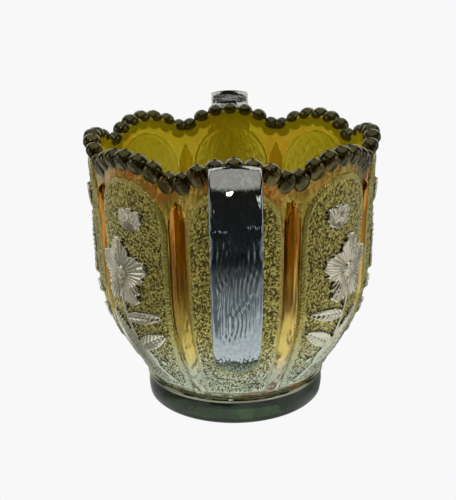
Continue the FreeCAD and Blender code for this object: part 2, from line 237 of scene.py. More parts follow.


# %% [markdown]
# ## Node groups that several finishes share
#
# The film's colour drifts from silver near the foot to gold and then red-brown near the rim. One group
# paints that drift by height, with soft stains in it. On the collar the stains are red patches, and on the
# handles pale threads, and these are painted reflections. Stains can be stretched upright, which turns them
# into streaks. A second group gives the small waves that every pressed surface has. A third one paints
# shade into the pits of a relief, where no light gets in.

# %% Helpers for node trees
def add(tree, kind, *inputs, **settings):
    """A node with its settings, and its inputs filled with values or links. None skips an input."""
    node = tree.nodes.new(kind)
    for name, value in settings.items():
        setattr(node, name, value)
    for socket, value in zip(node.inputs, inputs):
        if isinstance(value, bpy.types.NodeSocket):
            tree.links.new(value, socket)
        elif value is not None:
            socket.default_value = value
    return node


def group_with(name, inputs, outputs, kind="ShaderNodeTree"):
    """An empty node group with named sockets. Each input is a name, a socket type and a default value."""
    tree = bpy.data.node_groups.new(name, kind)
    for label, socket, value in inputs:
        made = tree.interface.new_socket(label, in_out="INPUT", socket_type=socket)
        if value is not None:
            made.default_value = value
    for label, socket in outputs:
        tree.interface.new_socket(label, in_out="OUTPUT", socket_type=socket)
    return tree, tree.nodes.new("NodeGroupInput"), tree.nodes.new("NodeGroupOutput")


def map_range(tree, value, low, high, to_low=0.0, to_high=1.0):
    """A smooth step of a value between two others."""
    node = add(tree, "ShaderNodeMapRange", value, interpolation_type="SMOOTHSTEP")
    for socket, number in zip(node.inputs[1:5], (low, high, to_low, to_high)):
        if isinstance(number, bpy.types.NodeSocket):
            tree.links.new(number, socket)
        else:
            socket.default_value = number
    return node.outputs[0]


def mix_colours(tree, share, first, second, way="MIX"):
    """Two colours mixed by a share."""
    node = add(tree, "ShaderNodeMix", data_type="RGBA", blend_type=way)
    for socket, value in ((node.inputs[0], share), (node.inputs[6], first), (node.inputs[7], second)):
        if isinstance(value, bpy.types.NodeSocket):
            tree.links.new(value, socket)
        else:
            socket.default_value = value
    return node.outputs[2]


# %% The drifting film colour
COLOUR = "NodeSocketColor"
NUMBER = "NodeSocketFloat"
film_group, given, made = group_with(
    "film_colour",
    [
        ("Low Colour", COLOUR, (0.6, 0.6, 0.5, 1)),
        ("Middle Colour", COLOUR, (0.6, 0.5, 0.2, 1)),
        ("High Colour", COLOUR, (0.4, 0.2, 0.1, 1)),
        ("Stain Colour", COLOUR, (0.5, 0.2, 0.05, 1)),
        ("Low Height", NUMBER, 0.03),
        ("Middle Height", NUMBER, 0.05),
        ("High Height", NUMBER, 0.085),
        ("Top Height", NUMBER, 0.1),
        ("Stain Scale", NUMBER, 60.0),
        ("Stain Amount", NUMBER, 0.3),
        ("Stain Stretch", NUMBER, 1.0),
    ],
    [("Colour", COLOUR), ("Roughness", NUMBER)],
)
place = add(film_group, "ShaderNodeTexCoord").outputs["Object"]
height = add(film_group, "ShaderNodeSeparateXYZ", place).outputs[2]
drift = add(film_group, "ShaderNodeTexNoise", place, None, 35.0, 3.0).outputs[0]
wander = add(film_group, "ShaderNodeMath", drift, 0.5, operation="SUBTRACT").outputs[0]
wander = add(film_group, "ShaderNodeMath", wander, 0.016, operation="MULTIPLY").outputs[0]
height = add(film_group, "ShaderNodeMath", height, wander, operation="ADD").outputs[0]
upwards = map_range(film_group, height, given.outputs["Low Height"], given.outputs["Middle Height"])
colour = mix_colours(film_group, upwards, given.outputs["Low Colour"], given.outputs["Middle Colour"])
upwards = map_range(film_group, height, given.outputs["High Height"], given.outputs["Top Height"])
colour = mix_colours(film_group, upwards, colour, given.outputs["High Colour"])
stretch = add(film_group, "ShaderNodeCombineXYZ", 1.0, 1.0, given.outputs["Stain Stretch"]).outputs[0]
place = add(film_group, "ShaderNodeVectorMath", place, stretch, operation="MULTIPLY").outputs[0]
stains_and_reflections = add(film_group, "ShaderNodeTexNoise", place, None, given.outputs["Stain Scale"], 3.0).outputs[0]
stains_and_reflections = map_range(film_group, stains_and_reflections, 0.48, 0.68)
amount = given.outputs["Stain Amount"]
share = add(film_group, "ShaderNodeMath", stains_and_reflections, amount, operation="MULTIPLY").outputs[0]
colour = mix_colours(film_group, share, colour, given.outputs["Stain Colour"])
film_group.links.new(colour, made.inputs["Colour"])
film_group.links.new(map_range(film_group, stains_and_reflections, 0.0, 1.0, 0.03, 0.07), made.inputs["Roughness"])

# %% The waves of a pressed surface
wave_group, given, made = group_with(
    "pressed_waves",
    [("Wave Scale", NUMBER, 90.0), ("Upright Stretch", NUMBER, 0.35), ("Grain Scale", NUMBER, 900.0),
     ("Grain Share", NUMBER, 0.1)],
    [("Height", NUMBER)],
)
place = add(wave_group, "ShaderNodeTexCoord").outputs["Object"]
stretch = add(wave_group, "ShaderNodeCombineXYZ", 1.0, 1.0, given.outputs["Upright Stretch"]).outputs[0]
place = add(wave_group, "ShaderNodeVectorMath", place, stretch, operation="MULTIPLY").outputs[0]
waves = add(wave_group, "ShaderNodeTexNoise", place, None, given.outputs["Wave Scale"], 2.0).outputs[0]
grain = add(wave_group, "ShaderNodeTexNoise", place, None, given.outputs["Grain Scale"], 1.0).outputs[0]
share = given.outputs["Grain Share"]
grain = add(wave_group, "ShaderNodeMath", grain, share, operation="MULTIPLY").outputs[0]
total = add(wave_group, "ShaderNodeMath", waves, grain, operation="ADD").outputs[0]
wave_group.links.new(total, made.inputs["Height"])

# %% Painted shade in the pits
pit_shade_group, given, made = group_with(
    "dark_pits",
    [("Colour", COLOUR, (1, 1, 1, 1)), ("Pit Lift", NUMBER, 0.0), ("Open Lift", NUMBER, 0.3),
     ("Pit Tint", COLOUR, (0.2, 0.2, 0.1, 1))],
    [("Colour", COLOUR)],
)
lift = add(pit_shade_group, "ShaderNodeAttribute", attribute_name="lift").outputs["Fac"]
lift = map_range(pit_shade_group, lift, given.outputs["Pit Lift"], given.outputs["Open Lift"])
pit_shaded = mix_colours(pit_shade_group, 1.0, given.outputs["Colour"], given.outputs["Pit Tint"], "MULTIPLY")
pit_shade_group.links.new(mix_colours(pit_shade_group, lift, pit_shaded, given.outputs["Colour"]), made.inputs["Colour"])
print("node groups:", [group.name for group in bpy.data.node_groups])

# %% [markdown]
# ## The glass finishes
#
# Each finish is one Principled BSDF. The glass lets light through, and the film on it is a share of metal,
# so one surface is both a window and a mirror. The shares are plain numbers on the shader. Only colours,
# roughness and bumps change over the surface. The bare inside is half clear, so that the cup keeps its own
# yellow instead of showing only what is behind it.

# %% A function for every glass
def glass(name, colours, heights, metal, stain_and_reflection, bump=0.1, waves=(90.0, 0.35), clear=1.0, pit_shade=None):
    """A glass with a share of metal film.

    Colours run low, middle, high and stain, and change at four heights in metres. The stain, which is a
    painted reflection in some finishes, has a scale, an amount and an upright stretch, and the waves have a
    scale and a stretch. Pit shade is two values of the lift attribute, and the colour of the painted shade
    for what lies below the first of them.
    """
    material = bpy.data.materials.new(name)
    material.use_nodes = True
    tree = material.node_tree
    shader = tree.nodes["Principled BSDF"]
    film = add(tree, "ShaderNodeGroup", node_tree=film_group)
    for socket, value in zip(film.inputs, [(*c, 1) for c in colours] + list(heights) + list(stain_and_reflection)):
        socket.default_value = value
    colour = film.outputs["Colour"]
    if pit_shade:
        shade = add(tree, "ShaderNodeGroup", colour, pit_shade[0], pit_shade[1], (*pit_shade[2], 1), node_tree=pit_shade_group)
        colour = shade.outputs["Colour"]
    tree.links.new(colour, shader.inputs["Base Color"])
    tree.links.new(film.outputs["Roughness"], shader.inputs["Roughness"])
    surface = add(tree, "ShaderNodeGroup", node_tree=wave_group)
    for socket, value in zip(surface.inputs, waves):
        socket.default_value = value
    bumps = add(tree, "ShaderNodeBump")
    bumps.inputs["Strength"].default_value = bump
    bumps.inputs["Distance"].default_value = 1 * MM
    tree.links.new(surface.outputs["Height"], bumps.inputs["Height"])
    tree.links.new(bumps.outputs["Normal"], shader.inputs["Normal"])
    shader.inputs["Metallic"].default_value = metal
    shader.inputs["Transmission Weight"].default_value = clear
    shader.inputs["IOR"].default_value = 1.5
    return material


# %% The finishes of this bowl
BODY_HEIGHTS = (18 * MM, 46 * MM, 80 * MM, 96 * MM)
SILVER_GREEN = (0.56, 0.62, 0.44)
OLIVE_GOLD = (0.86, 0.72, 0.16)
CHESTNUT = (0.62, 0.44, 0.08)
# The stain colour of film_glass is red: it paints the red reflection patches on the collar.
RED_REFLECTION_PATCH = (0.80, 0.14, 0.02)
film_glass = glass(
    "film_glass", (SILVER_GREEN, OLIVE_GOLD, CHESTNUT, RED_REFLECTION_PATCH), BODY_HEIGHTS, 0.52, (55.0, 0.8, 0.7),
    bump=1.0, waves=(140.0, 0.45))
plain_glass = glass(
    "plain_glass", ((0.80, 0.86, 0.30), (0.95, 0.80, 0.03), (0.95, 0.78, 0.015), (0.95, 0.62, 0.010)),
    BODY_HEIGHTS, 0.02, (30.0, 0.5, 1.0), bump=0.1, clear=0.5)
clear_glass = glass(
    "clear_glass", ((0.93, 0.95, 0.88), (0.95, 0.93, 0.82), (0.95, 0.92, 0.80), (0.92, 0.90, 0.78)),
    BODY_HEIGHTS, 0.0, (60.0, 0.3, 1.0), bump=0.05)
# The pad and spray finishes paint shade into the pits of their relief: dark in the stipple's hollows, near
# black beside the spray.
stippled_glass = glass(
    "stippled_glass", ((0.86, 0.96, 0.76), (1.0, 0.92, 0.30), (1.0, 0.86, 0.24), (0.80, 0.66, 0.14)),
    (18 * MM, 45 * MM, 84 * MM, 98 * MM), 0.55, (500.0, 0.4, 0.8), bump=0.6, waves=(1250.0, 0.8),
    pit_shade=(-0.12, 0.06, (0.14, 0.14, 0.08)))
spray_glass = glass(
    "spray_glass", ((0.62, 0.70, 0.54), (0.92, 0.86, 0.66), (0.92, 0.82, 0.58), (0.50, 0.42, 0.20)),
    (20 * MM, 50 * MM, 84 * MM, 98 * MM), 0.85, (260.0, 0.4, 0.8), bump=0.2, waves=(300.0, 0.5),
    pit_shade=(0.25, 0.72, (0.06, 0.065, 0.03)))
# The ridge finish paints a glow of light through the ridges over their own amber: pale low down, bright
# yellow in the middle, orange above.
ridge_glass = glass(
    "ridge_glass", ((0.74, 0.80, 0.62), (1.0, 0.82, 0.22), (0.95, 0.42, 0.04), (0.10, 0.05, 0.008)),
    (22 * MM, 36 * MM, 44 * MM, 74 * MM), 0.55, (520.0, 0.85, 0.07), bump=0.4, waves=(260.0, 0.15))
bead_glass = glass(
    "bead_glass", ((0.11, 0.10, 0.03), (0.11, 0.10, 0.03), (0.11, 0.10, 0.03), (0.26, 0.22, 0.05)),
    BODY_HEIGHTS, 0.6, (120.0, 0.4, 1.0), bump=0.1)
# The pale stain colour of handle_glass, stretched upright, paints reflection threads on the handles.
handle_glass = glass(
    "handle_glass", ((0.40, 0.48, 0.50), (0.40, 0.47, 0.50), (0.46, 0.45, 0.40), (0.62, 0.72, 0.70)),
    (26 * MM, 34 * MM, 92 * MM, 106 * MM), 0.88, (800.0, 0.5, 0.09), bump=0.15, waves=(420.0, 0.12))
# The tongue's rim is bright yellow-green, a painted glint along its edge.
tongue_glass = glass(
    "tongue_glass", ((0.86, 1.0, 0.20), (0.86, 1.0, 0.20), (0.86, 1.0, 0.20), (0.10, 0.24, 0.02)),
    BODY_HEIGHTS, 0.5, (320.0, 0.7, 1.0), bump=0.8, waves=(300.0, 1.0))
foot_glass = glass(
    "foot_glass", ((0.02, 0.04, 0.015), (0.025, 0.055, 0.02), (0.025, 0.055, 0.02), (0.07, 0.20, 0.05)),
    (1 * MM, 8 * MM, 15 * MM, 20 * MM), 0.15, (110.0, 0.5, 0.5), bump=0.3)
# The ledge's finish is the foot's glass made pale and metallic, as a painted highlight.
ledge_glass = glass(
    "ledge_glass", ((0.30, 0.32, 0.20), (0.36, 0.36, 0.25), (0.36, 0.36, 0.25), (0.10, 0.12, 0.05)),
    (7 * MM, 9 * MM, 15 * MM, 20 * MM), 0.8, (90.0, 0.5, 1.0), bump=0.15)
print(len(bpy.data.materials), "finishes")

# %% [markdown]
# ## The wall
#
# The wall is one skin: its seat on the foot, the lobed outside, the round edge of the rim, the smooth
# inside and the floor. Rows run all the way round. Below the pads' arches each row lies level. Above them
# the rows bend more and more until the last one follows the scallops.

# %% The wall's rows
COLUMNS = 56
LEVEL_TOP = 78 * MM
EDGE_ROUND = 1.1 * MM
turns = np.arange(PANELS * COLUMNS) * 2 * math.pi / (PANELS * COLUMNS) + panel_angle(1)
local = (np.arange(PANELS * COLUMNS) % COLUMNS) * 2 * HALF / COLUMNS
local = np.where(local > HALF, local - 2 * HALF, local)


def wall_row(radius, z):
    return on_bowl(turns, radius, z + 0 * turns)


top_z = rim_height(local)
rows = [wall_row(radius, waist_z) for radius in np.linspace(4 * MM, waist_radius - 1 * MM, 4)]
rows += [wall_row(outside(local, z), z) for z in np.arange(waist_z, LEVEL_TOP, 1.5 * MM)]
for share in np.linspace(0, 1, 26):
    z = LEVEL_TOP + (top_z - EDGE_ROUND - LEVEL_TOP) * share
    rows.append(wall_row(outside(local, z), z))
shoulder_z = top_z - EDGE_ROUND
outer_edge = outside(local, shoulder_z)
inner_edge = side(shoulder_z, -wall_thickness)
edge_reach = np.minimum(EDGE_ROUND, (outer_edge - inner_edge) / 2)
for turn in np.linspace(0, 90, 5)[1:]:
    rise = EDGE_ROUND * math.sin(math.radians(turn))
    rows.append(wall_row(outer_edge - edge_reach * (1 - math.cos(math.radians(turn))), shoulder_z + rise))
for turn in np.linspace(90, 0, 5):
    rise = EDGE_ROUND * math.sin(math.radians(turn))
    rows.append(wall_row(inner_edge + edge_reach * (1 - math.cos(math.radians(turn))), shoulder_z + rise))
for share in np.linspace(1, 0, 12)[1:]:
    z = LEVEL_TOP + (shoulder_z - LEVEL_TOP) * share
    rows.append(wall_row(side(z, -wall_thickness), z))

# %% [markdown]
# Inside, the floor meets the wall in a wide round. Its middle is as far above the floor as it is from the
# sloping wall, which gives the two points where the round begins and ends.

# %% The inside and the finished wall
FLOOR_ROUND = 13 * MM
round_z = floor_z + FLOOR_ROUND
wall_at_round = waist_radius - wall_thickness / math.cos(flare) + (round_z - waist_z) * math.tan(flare)
round_x = wall_at_round - FLOOR_ROUND / math.cos(flare)
round_end_z = round_z - FLOOR_ROUND * math.sin(flare)
for z in np.linspace(LEVEL_TOP, round_end_z, 28)[1:-1]:
    rows.append(wall_row(side(z, -wall_thickness), z))
for turn in np.linspace(flare, math.pi / 2, 8):
    rows.append(wall_row(round_x + FLOOR_ROUND * math.cos(turn), round_z - FLOOR_ROUND * math.sin(turn)))
rows += [wall_row(radius, floor_z) for radius in np.linspace(round_x, 4 * MM, 5)[1:]]
bowl_wall = new_piece("bowl_wall_glass", *vessel(rows, (0, 0, waist_z), (0, 0, floor_z)))
report(bowl_wall)

# %% [markdown]
# The film is only on the outside. The faces that look at the bowl's axis and the seat are plain glass, and
# the faces hidden behind a pad are clear. A face's middle says which it is.

# %% Film outside, plain glass inside, clear glass behind the pads
def panel_local(x, y):
    """Angle from the middle of the nearest panel, in radians."""
    angle = np.arctan2(y, x) - panel_angle(1)
    return (angle + HALF) % (2 * HALF) - HALF


def behind_pad(angle, z):
    """Whether a place on the wall lies well behind a pad."""
    across = side(z) * np.sin(np.abs(angle))
    legs = (z > pad_bottom_z) & (z < spring_z) & (np.abs(angle) < pad_half_angle)
    return legs | ((z >= spring_z) & (across**2 + (z - spring_z)**2 < arch_radius**2))


def face_middles(piece):
    middles = np.zeros(len(piece.data.polygons) * 3)
    piece.data.polygons.foreach_get("center", middles)
    return middles.reshape(-1, 3)


def paint(piece, materials, choice):
    """Gives a piece its materials, with a number for each face."""
    for material in materials:
        piece.data.materials.append(material)
    piece.data.polygons.foreach_set("material_index", np.asarray(choice, np.int32))


middles = face_middles(bowl_wall)
x, y, z = middles.T
across, radius = panel_local(x, y), np.hypot(x, y)
is_outside = (radius > outside(across, z) - 0.6 * MM) & (z > waist_z + 0.2 * MM)
filmed = is_outside & ~behind_pad(across, z)
paint(bowl_wall, [plain_glass, film_glass, clear_glass], np.where(filmed, 1, np.where(is_outside, 2, 0)))
print(f"{filmed.sum()} of {len(filmed)} faces carry film")

# %% [markdown]
# ## The foot
#
# The foot is a thick disc with a hollow underneath. Its side bows a little, and the ledge at its top is a
# half round where the bowl stands, painted pale as a highlight. The profile is turned about the axis.

# %% The foot's profile
GAP = 0.03 * MM
LEDGE = 1.2 * MM
FOOT_EDGE, FOOT_BOW = 0.7 * MM, 0.45 * MM
bottom_radius = foot_radius - 0.8 * MM
recess_radius = bottom_radius - 5 * MM
recess_top = 4 * MM
ledge_z = waist_z - GAP - LEDGE
profile = [(4 * MM, recess_top), (14 * MM, recess_top), (recess_radius - 3 * MM, recess_top)]
profile += [(recess_radius - 1.8 * MM, recess_top - 0.4 * MM), (recess_radius - 0.6 * MM, FOOT_EDGE)]
profile += [(recess_radius, 0.15 * MM), (recess_radius + 0.7 * MM, 0)]
profile += [(bottom_radius - 1.4 * MM, 0), (bottom_radius - 0.5 * MM, 0.15 * MM), (bottom_radius, FOOT_EDGE)]
for share in np.linspace(0.08, 1, 10):
    z = FOOT_EDGE + (ledge_z - LEDGE - FOOT_EDGE) * share
    bow = FOOT_BOW * math.sin(math.pi * share)
    profile.append((bottom_radius + (foot_radius - 0.9 * MM - bottom_radius) * share + bow, z))
for turn in np.linspace(-65, 90, 12):
    profile.append((
        foot_radius - LEDGE + LEDGE * math.cos(math.radians(turn)),
        ledge_z + LEDGE * math.sin(math.radians(turn)),
    ))
profile += [(radius, waist_z - GAP) for radius in (31 * MM, 24 * MM, 14 * MM, 4 * MM)]

# %% The turned foot
FOOT_COLUMNS = 192
foot_turns = np.arange(FOOT_COLUMNS) * 2 * math.pi / FOOT_COLUMNS
foot_rows = [on_bowl(foot_turns, radius, z) for radius, z in profile]
foot = new_piece("foot_ring", *vessel(foot_rows, (0, 0, recess_top), (0, 0, waist_z - GAP)), crease=60)
middles = face_middles(foot)
on_ledge = (middles[:, 2] > ledge_z - LEDGE) & (np.hypot(middles[:, 0], middles[:, 1]) > 30 * MM)
# The ledge's faces take the pale finish that paints a highlight on the ledge.
paint(foot, [foot_glass, ledge_glass], on_ledge)
report(foot)

# %% [markdown]
# ## The pads and their sprays
#
# Each pad is a thin plate on its lobe, with an arched top and a fine stipple that breaks up the light. On
# six pads a flower spray stands up from the stipple. Relief like this is easiest to sculpt as a height at
# every point of a grid: each petal, leaf and bud is a small function of height, and the tallest one wins.

# %% Shapes of relief
def petal_height(across, up, angle, reach, length, width):
    """A ruffled petal that rises from the eye to a turned lip, with ribs that run outwards."""
    along = across * math.cos(angle) + up * math.sin(angle)
    aside = -across * math.sin(angle) + up * math.cos(angle)
    direction = np.arctan2(aside, np.maximum(along, 0.2 * MM))
    ruffle = 1 + 0.07 * np.cos(direction * 11) - 0.05 * np.cos(direction * 23)
    body = 1 - ((along - reach) / (length / 2 * ruffle))**2 - (aside / (width / 2 * ruffle))**2
    rise = 0.45 + 0.55 * np.clip(along / (reach + length / 2), 0, 1)
    ribs = 0.14 * np.cos(direction * 34) * smooth(along, 2 * MM, 5 * MM)
    return np.where(body > 0, (rise + ribs) * smooth(body, 0, 0.22), 0)


def leaf_height(across, up, start, angle, length, width):
    """A pointed leaf with a sunk midrib and side veins."""
    along = (across - start[0]) * math.cos(angle) + (up - start[1]) * math.sin(angle)
    aside = -(across - start[0]) * math.sin(angle) + (up - start[1]) * math.cos(angle)
    share = np.clip(along / length, 0, 1)
    half = width / 2 * np.sqrt(np.clip(4 * share * (1 - share), 0, 1)) * (1.15 - 0.45 * share)
    inside = (along > 0) & (along < length) & (np.abs(aside) < half)
    edge = smooth(half - np.abs(aside), 0, 0.6 * MM)
    rib = 0.35 * np.exp(-(aside / (0.45 * MM))**2)
    veins = 0.10 * np.cos((along - 1.4 * np.abs(aside)) * 2 * math.pi / (2.2 * MM))
    return np.where(inside, (0.85 - rib + veins) * edge, 0)


def bud_height(across, up, middle, long_radius, short_radius, angle=math.pi / 2):
    """A round or oval bud."""
    along = (across - middle[0]) * math.cos(angle) + (up - middle[1]) * math.sin(angle)
    aside = -(across - middle[0]) * math.sin(angle) + (up - middle[1]) * math.cos(angle)
    body = 1 - (along / long_radius)**2 - (aside / short_radius)**2
    return np.sqrt(np.clip(body, 0, 1))


# %% [markdown]
# The spray is laid out once for panels 2 to 4 and mirrored for panels 6 to 8. The flower and stem take
# their places from the CAD's flower and stem nodes.

# %% The whole spray as one height
flower_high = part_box("flower_3")[1]
stem_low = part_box("stem_and_leaves_3")[0]
PETAL_REACH, PETAL_LENGTH, PETAL_WIDTH = 7.2 * MM, 12.4 * MM, 10.6 * MM
flower_z = flower_high.z - PETAL_REACH - PETAL_LENGTH / 2
flower_side = 4.0 * MM
stem_bottom = stem_low.z
STEM_RADIUS = 97 * MM
STEM_HALF = 1.1 * MM
TOP_BUD = (-3 * MM, 16.5 * MM)
# leaves: share of the way up the stem, direction in degrees, length and width in mm
LEAVES = ((0.62, 170, 16.0, 6.0), (0.36, 150, 15.0, 7.0), (0.16, 50, 27.0, 12.0))
# buds: share of the way up the stem, step to the side in mm
BUDS = ((0.52, 5.0), (0.46, 8.0), (0.22, -4.5))


def stem_place(z):
    """How far the stem's middle lies to the side at height z."""
    return flower_side - STEM_RADIUS + np.sqrt(STEM_RADIUS**2 - (flower_z - z)**2)


def spray_height(across, up):
    """Relief of the flower spray, as a share of its full height."""
    x, z = across - flower_side, up - flower_z
    tall = np.zeros_like(across)
    for index in range(5):
        angle = math.radians(90 + 72 * index)
        lift = 1.0 if index % 2 == 0 else 0.86
        tall = np.maximum(tall, lift * petal_height(x, z, angle, PETAL_REACH, PETAL_LENGTH, PETAL_WIDTH))
    eye = bud_height(across, up, (flower_side, flower_z), 3 * MM, 3 * MM)
    tall = np.where(eye > 0, 0.5 + 0.5 * eye + 0.12 * np.cos(np.hypot(x, z) * 2 * math.pi / (1.1 * MM)), tall)
    beside = np.abs(across - stem_place(np.clip(up, stem_bottom, flower_z))) / STEM_HALF
    stem = np.sqrt(np.clip(1 - beside**2, 0, 1)) * 0.8 * ((up > stem_bottom) & (up < flower_z))
    tall = np.maximum(tall, stem)
    rise = flower_z - stem_bottom
    for share, angle, length, width in LEAVES:
        z = stem_bottom + share * rise
        start = (stem_place(z), z)
        tall = np.maximum(tall, leaf_height(across, up, start, math.radians(angle), length * MM, width * MM))
    for share, step in BUDS:
        z = stem_bottom + share * rise
        middle = (stem_place(z) + step * MM, z)
        tall = np.maximum(tall, 0.8 * bud_height(across, up, middle, 1.7 * MM, 1.5 * MM))
    x, z = across - TOP_BUD[0], up - flower_z - TOP_BUD[1]
    for angle, width in ((65, 6.0), (118, 6.0), (92, 5.0)):
        fold = petal_height(x, z, math.radians(angle), 4.6 * MM, 9 * MM, width * MM)
        tall = np.maximum(tall, fold)
    return tall


# %% [markdown]
# The pad's grid is bent so that its edge is the arch itself, which keeps the outline round and clean. The
# front rises from the wall in a small round and has a low lip, as the mould left it.

# %% One pad as two grids
PAD_COLUMNS, PAD_ROWS = 118, 272
PAD_THICKNESS = 0.8 * MM
SPRAY_THICKNESS = 1.3 * MM
STIPPLE_CELL, STIPPLE_DEPTH = 0.64 * MM, 0.8 * MM


def pad_grids(way):
    """Front and back grids of a pad about +X, with its stipple mask and relief. way is 0 for no spray."""
    even = np.linspace(-1, 1, PAD_COLUMNS)
    u = 0.55 * even + 0.45 * np.sin(math.pi / 2 * even)
    v = np.linspace(0, 1, PAD_ROWS)[:, None]
    top = spring_z + arch_radius * np.sqrt(1 - u**2)
    z = pad_bottom_z + (top - pad_bottom_z) * v
    spring_radius = arch_radius / math.sin(pad_half_angle)
    reach = np.where(z < spring_z, 1.0, spring_radius / side(np.maximum(z, spring_z)))
    angle = np.arcsin(u * math.sin(pad_half_angle) * reach)
    across = side(z) * angle
    to_side = side(z) * (pad_half_angle - np.abs(angle))
    to_arch = arch_radius - np.hypot(u * arch_radius, z - spring_z)
    to_edge = np.minimum(np.where(z < spring_z, to_side, to_arch), z - pad_bottom_z)
    to_edge = np.clip(to_edge, 0, None)
    rise = PAD_THICKNESS * np.sqrt(1 - (1 - np.minimum(to_edge / (0.9 * MM), 1))**2)
    lip = 0.25 * MM * np.exp(-((to_edge - 1.4 * MM) / (0.5 * MM))**2)
    relief = np.zeros_like(z)
    if way:
        relief = spray_height(way * across, z) * smooth(to_edge, 0.6 * MM, 1.6 * MM)
    stipple = smooth(to_edge, 1.6 * MM, 2.4 * MM) * (1 - smooth(relief, 0.02, 0.25))
    ground = outside(angle, z)
    front = on_bowl(angle, ground + np.maximum(rise, 0.12 * MM) + lip + relief * SPRAY_THICKNESS, z)
    back = on_bowl(angle, ground + GAP, z)
    return front, back, stipple, relief


# %% [markdown]
# Geometry Nodes press the stipple into the pad. Cells of less than a millimetre are pushed along the
# normal, by the distance to the middle of each cell. The tree keeps how far each point stands up as the
# attribute lift, which the finishes read to paint shade into the pits. It also puts the pad's finish on the
# ground, the spray's finish on what stands up from it, and clear glass on the hidden back.

# %% The stipple tree
stipple_tree, given, made = group_with(
    "stipple",
    [("Geometry", "NodeSocketGeometry", None), ("Cell Size", NUMBER, 1.0 * MM), ("Depth", NUMBER, 0.3 * MM),
     ("Upright Stretch", NUMBER, 0.7), ("Seed", NUMBER, 3.0), ("Pad Finish", "NodeSocketMaterial", None),
     ("Spray Finish", "NodeSocketMaterial", None), ("Back Finish", "NodeSocketMaterial", None)],
    [("Geometry", "NodeSocketGeometry")],
    "GeometryNodeTree",
)
mask = add(stipple_tree, "GeometryNodeInputNamedAttribute", "stipple", data_type="FLOAT").outputs[0]
raised = add(stipple_tree, "GeometryNodeInputNamedAttribute", "relief", data_type="FLOAT").outputs[0]
place = add(stipple_tree, "GeometryNodeInputPosition").outputs[0]
stretch = add(stipple_tree, "ShaderNodeCombineXYZ", 1.0, 1.0, given.outputs["Upright Stretch"]).outputs[0]
place = add(stipple_tree, "ShaderNodeVectorMath", place, stretch, operation="MULTIPLY").outputs[0]
scale = add(stipple_tree, "ShaderNodeMath", 1.0, given.outputs["Cell Size"], operation="DIVIDE").outputs[0]
cells = add(stipple_tree, "ShaderNodeTexVoronoi", voronoi_dimensions="4D", feature="SMOOTH_F1")
stipple_tree.links.new(place, cells.inputs["Vector"])
stipple_tree.links.new(given.outputs["Seed"], cells.inputs["W"])
stipple_tree.links.new(scale, cells.inputs["Scale"])
cells.inputs["Smoothness"].default_value = 0.25
dome = add(stipple_tree, "ShaderNodeMath", 0.55, cells.outputs["Distance"], operation="SUBTRACT").outputs[0]
push = add(stipple_tree, "ShaderNodeMath", dome, given.outputs["Depth"], operation="MULTIPLY").outputs[0]
push = add(stipple_tree, "ShaderNodeMath", push, mask, operation="MULTIPLY").outputs[0]
normal = add(stipple_tree, "GeometryNodeInputNormal").outputs[0]
offset = add(stipple_tree, "ShaderNodeVectorMath", normal, operation="SCALE")
stipple_tree.links.new(push, offset.inputs["Scale"])
moved = add(stipple_tree, "GeometryNodeSetPosition")
stipple_tree.links.new(given.outputs["Geometry"], moved.inputs["Geometry"])
stipple_tree.links.new(offset.outputs[0], moved.inputs["Offset"])
lift = add(stipple_tree, "ShaderNodeMath", dome, mask, raised, operation="MULTIPLY_ADD").outputs[0]
kept = add(stipple_tree, "GeometryNodeStoreNamedAttribute", data_type="FLOAT", domain="POINT")
stipple_tree.links.new(moved.outputs[0], kept.inputs["Geometry"])
kept.inputs["Name"].default_value = "lift"
stipple_tree.links.new(lift, kept.inputs["Value"])
real = add(stipple_tree, "GeometryNodeRealizeInstances", kept.outputs[0])
ground = add(stipple_tree, "GeometryNodeSetMaterial", real.outputs[0])
stipple_tree.links.new(given.outputs["Pad Finish"], ground.inputs["Material"])
on_spray = add(stipple_tree, "FunctionNodeCompare", raised, 0.2, data_type="FLOAT", operation="GREATER_THAN")
painted = add(stipple_tree, "GeometryNodeSetMaterial", ground.outputs[0], on_spray.outputs[0])
stipple_tree.links.new(given.outputs["Spray Finish"], painted.inputs["Material"])
behind = add(stipple_tree, "GeometryNodeInputNamedAttribute", "back", data_type="FLOAT").outputs[0]
is_back = add(stipple_tree, "FunctionNodeCompare", behind, 0.7, data_type="FLOAT", operation="GREATER_THAN")
backed = add(stipple_tree, "GeometryNodeSetMaterial", painted.outputs[0], is_back.outputs[0])
stipple_tree.links.new(given.outputs["Back Finish"], backed.inputs["Material"])
stipple_tree.links.new(backed.outputs[0], made.inputs["Geometry"])


# %% Running a tree on a piece
def run_tree(piece, tree, values):
    """Puts a Geometry Nodes tree on a piece, sets its inputs, and keeps the result as a plain mesh."""
    modifier = piece.modifiers.new(tree.name, "NODES")
    modifier.node_group = tree
    for item in tree.interface.items_tree:
        if item.in_out == "INPUT" and item.name in values:
            modifier[item.identifier] = values[item.name]
    graph = bpy.context.evaluated_depsgraph_get()
    result = bpy.data.meshes.new_from_object(piece.evaluated_get(graph))
    name = piece.data.name
    piece.modifiers.remove(modifier)
    piece.data = result
    result.name = name
    return piece


# %% The eight pads
def turned(points, angle):
    """Points turned about the bowl's axis."""
    c, s = math.cos(angle), math.sin(angle)
    return points @ np.array([[c, s, 0], [-s, c, 0], [0, 0, 1]])


